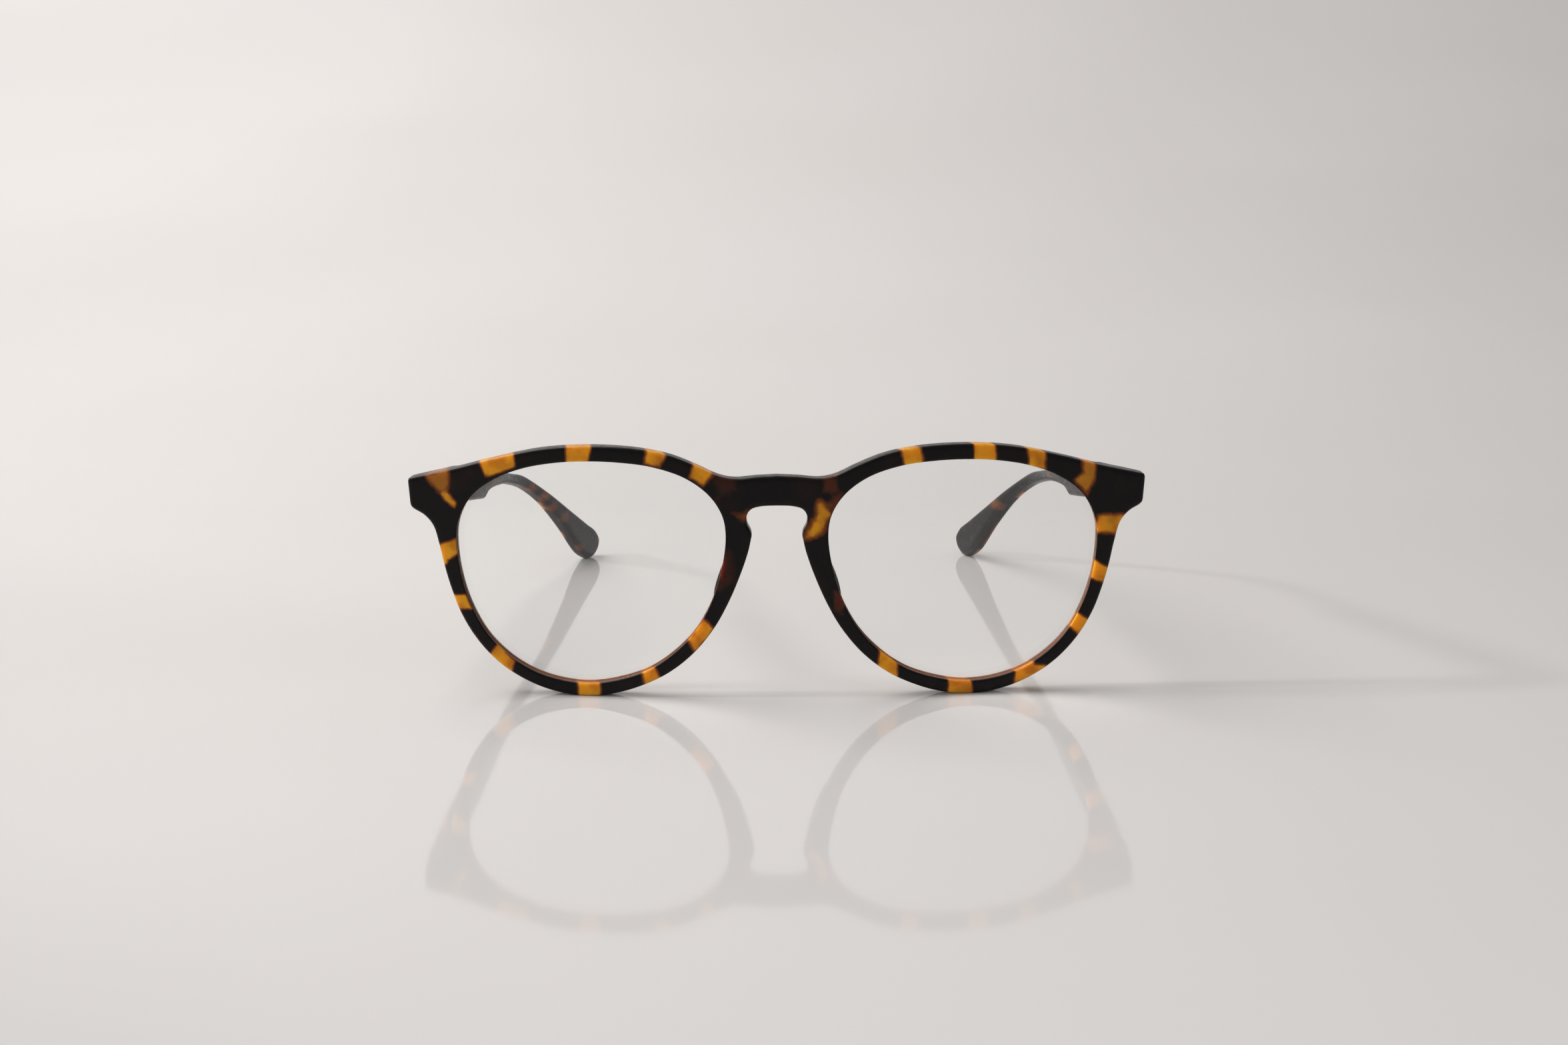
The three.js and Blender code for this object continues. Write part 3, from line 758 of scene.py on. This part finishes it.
def make_pad(side):
    """A bonded pad: a flattened dome behind the nasal side of the rim."""
    sign = SIDES[side]
    around, along = 56, 26
    tilt = math.radians(PAD["tilt"])
    vertices, faces = [], []
    for i in range(along):
        climb = math.pi / 2 * i / (along - 1)
        rise = PAD["depth"] * math.sin(climb)
        size = math.cos(climb) ** 0.75
        ridge = (PAD_TOP_LENGTH + (1 - PAD_TOP_LENGTH) * size) * size**0.15
        for k in range(around):
            angle = 2 * math.pi * k / around
            squared = math.copysign(abs(math.cos(angle)) ** 0.9, math.cos(angle))
            across = PAD["across"] * size * squared * (1 - PAD_NARROWING * math.sin(angle))
            length = PAD["along"] * ridge * math.sin(angle)
            back = FRONT_THICKNESS - PAD_OVERLAP + rise
            x = PAD["x"] + across * math.cos(tilt) + length * math.sin(tilt) + PAD_LEAN * rise
            z = PAD["z"] - across * math.sin(tilt) + length * math.cos(tilt)
            vertices.append((sign * x, back + FACE_Y, z))
    for i in range(along - 1):
        for k in range(around):
            a, b = i * around + k, i * around + (k + 1) % around
            faces.append((a, b, b + around, a + around))
    faces += [tuple(range(around)), tuple(range((along - 1) * around, along * around))]
    piece = new_mesh("nose_pad_acetate_" + side, vertices, faces, paint_front(np.array(vertices)))
    return settle(piece, "front", ["nose_pad_" + side], "tortoise_acetate", ACETATE)


def add_block(work, low, high, slope=0.0):
    """A chamfered block, sheared down towards the back by a slope."""
    corners = bmesh.ops.create_cube(work, size=1)["verts"]
    middle, size = (Vector(low) + Vector(high)) / 2, Vector(high) - Vector(low)
    for corner in corners:
        corner.co = middle + Vector(a * b for a, b in zip(corner.co, size))
        corner.co.z -= slope * (corner.co.y - HINGE.y)
    edges = dict.fromkeys(edge for corner in corners for edge in corner.link_edges)
    bmesh.ops.bevel(work, geom=list(edges), offset=METAL_CHAMFER, segments=2, affect="EDGES")


def add_barrel(work, low, high):
    """A ring on the hinge's axis, with chamfered rims."""
    around = 48
    outer, inner, cut = BARREL_RADIUS, BORE_RADIUS, METAL_CHAMFER
    profile = [(inner, low), (outer - cut, low), (outer, low + cut), (outer, high - cut)]
    profile += [(outer - cut, high), (inner, high)]
    rings = []
    for radius, z in profile:
        angles = [2 * math.pi * k / around for k in range(around)]
        ring = [(HINGE.x + radius * math.cos(a), HINGE.y + radius * math.sin(a), z) for a in angles]
        rings.append([work.verts.new(place) for place in ring])
    for ring, following in zip(rings, rings[1:] + rings[:1]):
        for k in range(around):
            after = (k + 1) % around
            work.faces.new((ring[k], ring[after], following[after], following[k]))


def in_order(vertices, faces):
    """The same mesh, listed in an order that is the same each run."""
    order = sorted(range(len(vertices)), key=lambda i: vertices[i])
    rank = {old: new for new, old in enumerate(order)}
    listed = []
    for face in faces:
        ranks = [rank[i] for i in face]
        first = ranks.index(min(ranks))
        listed.append(tuple(ranks[first:] + ranks[:first]))
    return [vertices[i] for i in order], sorted(listed)


def make_leaf(kind, side):
    """Half of a hinge: a plate, and every other barrel of the row with its web."""
    on_front = kind == "front"
    low, high = HINGE.z - LEAF_HEIGHT / 2, HINGE.z + LEAF_HEIGHT / 2
    inner = TEMPLE_X - TEMPLE_THICKNESS / 2
    work = bmesh.new()
    if on_front:
        start, end = FRONT_LEAF
        add_block(work, (start, END_BACK - LEAF_THICKNESS, low), (end, END_BACK, high))
    else:
        start, end = TEMPLE_LEAF
        add_block(work, (inner, start, low), (inner + LEAF_THICKNESS, end, high), LEAF_SLOPE)
    bottom = HINGE.z - (BARRELS * BARREL_HEIGHT + (BARRELS - 1) * BARREL_GAP) / 2
    for number in range(0 if on_front else 1, BARRELS, 2):
        low = bottom + number * (BARREL_HEIGHT + BARREL_GAP)
        high = low + BARREL_HEIGHT
        add_barrel(work, low, high)
        if on_front:
            x, y = HINGE.x, END_BACK - LEAF_THICKNESS / 2
            near, far = (x - WEB_HALF_WIDTH, y, low), (x + WEB_HALF_WIDTH, HINGE.y - 1, high)
        else:
            x, y = HINGE.x + 1, HINGE.y
            near = (x, y - WEB_HALF_WIDTH, low)
            far = (inner + LEAF_THICKNESS / 2, y + WEB_HALF_WIDTH, high)
        add_block(work, near, far)
    work.verts.index_update()
    vertices = [(SIDES[side] * v.co.x, v.co.y + FACE_Y, v.co.z) for v in work.verts]
    faces = [tuple(v.index for v in face.verts) for face in work.faces]
    work.free()
    name = f"{kind}_hinge_leaf_steel_{side}"
    piece = new_mesh(name, *in_order(vertices, faces), crease=30)
    body = "front" if on_front else "temple_" + side
    return settle(piece, body, [f"{kind}_hinge_leaf_{side}"], "hinge_steel", HINGE_STEEL)


make_front()
for side in SIDES:
    make_temple(side)
    make_lens(side)
    make_pad(side)
    make_leaf("front", side)
    make_leaf("temple", side)

for name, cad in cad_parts.items():
    finish = {"hinge_screw": HINGE_STEEL, "core_wire": WIRE_STEEL}.get(name.rsplit("_", 1)[0])
    if finish:
        cad.data.materials.clear()
        cad.data.materials.append(finish)


# ---------------------------------------------------------------- the studio

# In metres and degrees.
FLOOR_FRONT, FLOOR_HALF_WIDTH = -1.4, 4
SWEEP_START, SWEEP_RADIUS = 0.16, 2.6
CAMERA_LENS = 41.33
CAMERA_PLACE = (0.0004, FACE_Y * MM - 0.3307, 0.0943)
CAMERA_PITCH, CAMERA_YAW, CAMERA_ROLL = 10.37, 0.16, -0.32


def make_floor():
    """A pale glossy table that sweeps up into the backdrop."""
    profile = [(FLOOR_FRONT, 0), (SWEEP_START - 0.02, 0), (SWEEP_START, 0)]
    for angle in np.radians(range(2, 91, 4)):
        back = SWEEP_START + SWEEP_RADIUS * math.sin(angle)
        profile.append((back, SWEEP_RADIUS - SWEEP_RADIUS * math.cos(angle)))
    edges = (-FLOOR_HALF_WIDTH, FLOOR_HALF_WIDTH)
    vertices = [(x, y, z) for y, z in profile for x in edges]
    faces = [(i, i + 1, i + 3, i + 2) for i in range(0, len(vertices) - 2, 2)]
    mesh = bpy.data.meshes.new("studio_floor")
    mesh.from_pydata(vertices, [], faces)
    mesh.shade_smooth()
    floor = bpy.data.objects.new("studio_floor", mesh)
    bpy.context.scene.collection.objects.link(floor)
    made, tree = material("studio_floor")
    haze = ranged(tree, noise(tree, 2.2, 2), 0.3, 0.7)
    settings = {
        "Base Color": mixed(tree, haze, (0.655, 0.637, 0.622), (0.69, 0.672, 0.66)),
        "Roughness": 0.06,
        "IOR": 1.45,
    }
    finish_material(tree, node(tree, "ShaderNodeBsdfPrincipled", settings))
    mesh.materials.append(made)


def area_light(name, place, aim, size, power, colour=(1, 1, 1)):
    """A rectangular lamp at a place, facing its aim. The power is in watts."""
    light = bpy.data.lights.new(name, "AREA")
    light.shape = "RECTANGLE"
    light.size, light.size_y = size
    light.energy = power
    light.color = colour
    lamp = bpy.data.objects.new(name, light)
    bpy.context.scene.collection.objects.link(lamp)
    lamp.location = place
    lamp.rotation_euler = (Vector(aim) - Vector(place)).to_track_quat("-Z", "Y").to_euler()
    return lamp


def make_world():
    world = bpy.data.worlds.new("studio_air")
    world.use_nodes = True
    background = world.node_tree.nodes["Background"]
    background.inputs["Color"].default_value = (0.93, 0.92, 0.93, 1)
    background.inputs["Strength"].default_value = 0.36
    bpy.context.scene.world = world
    bpy.context.scene.view_settings.view_transform = "Standard"


def make_camera():
    """The view of the photograph: in front, above the frame and looking slightly down."""
    camera = bpy.data.objects.new("camera", bpy.data.cameras.new("camera"))
    bpy.context.scene.collection.objects.link(camera)
    camera.data.lens = CAMERA_LENS
    camera.data.clip_start = 0.01
    pitch, yaw, roll = (math.radians(a) for a in (CAMERA_PITCH, CAMERA_YAW, CAMERA_ROLL))
    turn = Matrix.Rotation(-yaw, 4, "Z") @ Matrix.Rotation(math.pi / 2 - pitch, 4, "X")
    turn = turn @ Matrix.Rotation(roll, 4, "Z")
    camera.matrix_world = Matrix.Translation(CAMERA_PLACE) @ turn
    bpy.context.scene.camera = camera


make_floor()
make_world()
make_camera()
area_light(
    "window",
    place=(-1.0, 0.8, 1.75),
    aim=(0.1, 0.6, 0.1),
    size=(1.9, 1.5),
    power=38,
    colour=(1.0, 0.97, 0.94),
)
# Small and in line with the front, so that the front's shadow falls as a thin line.
area_light(
    "left_window",
    place=(-1.6, FACE_Y * MM, 0.83),
    aim=(0.05, FACE_Y * MM, 0),
    size=(0.12, 0.12),
    power=8,
)
# Lights the front's face. It isn't seen mirrored in the floor or through the lenses.
front_fill = area_light(
    "front_fill",
    place=(-0.6, -1.1, 0.5),
    aim=(0, 0, 0.02),
    size=(1.2, 0.8),
    power=4,
)
front_fill.visible_glossy = False
front_fill.visible_transmission = False
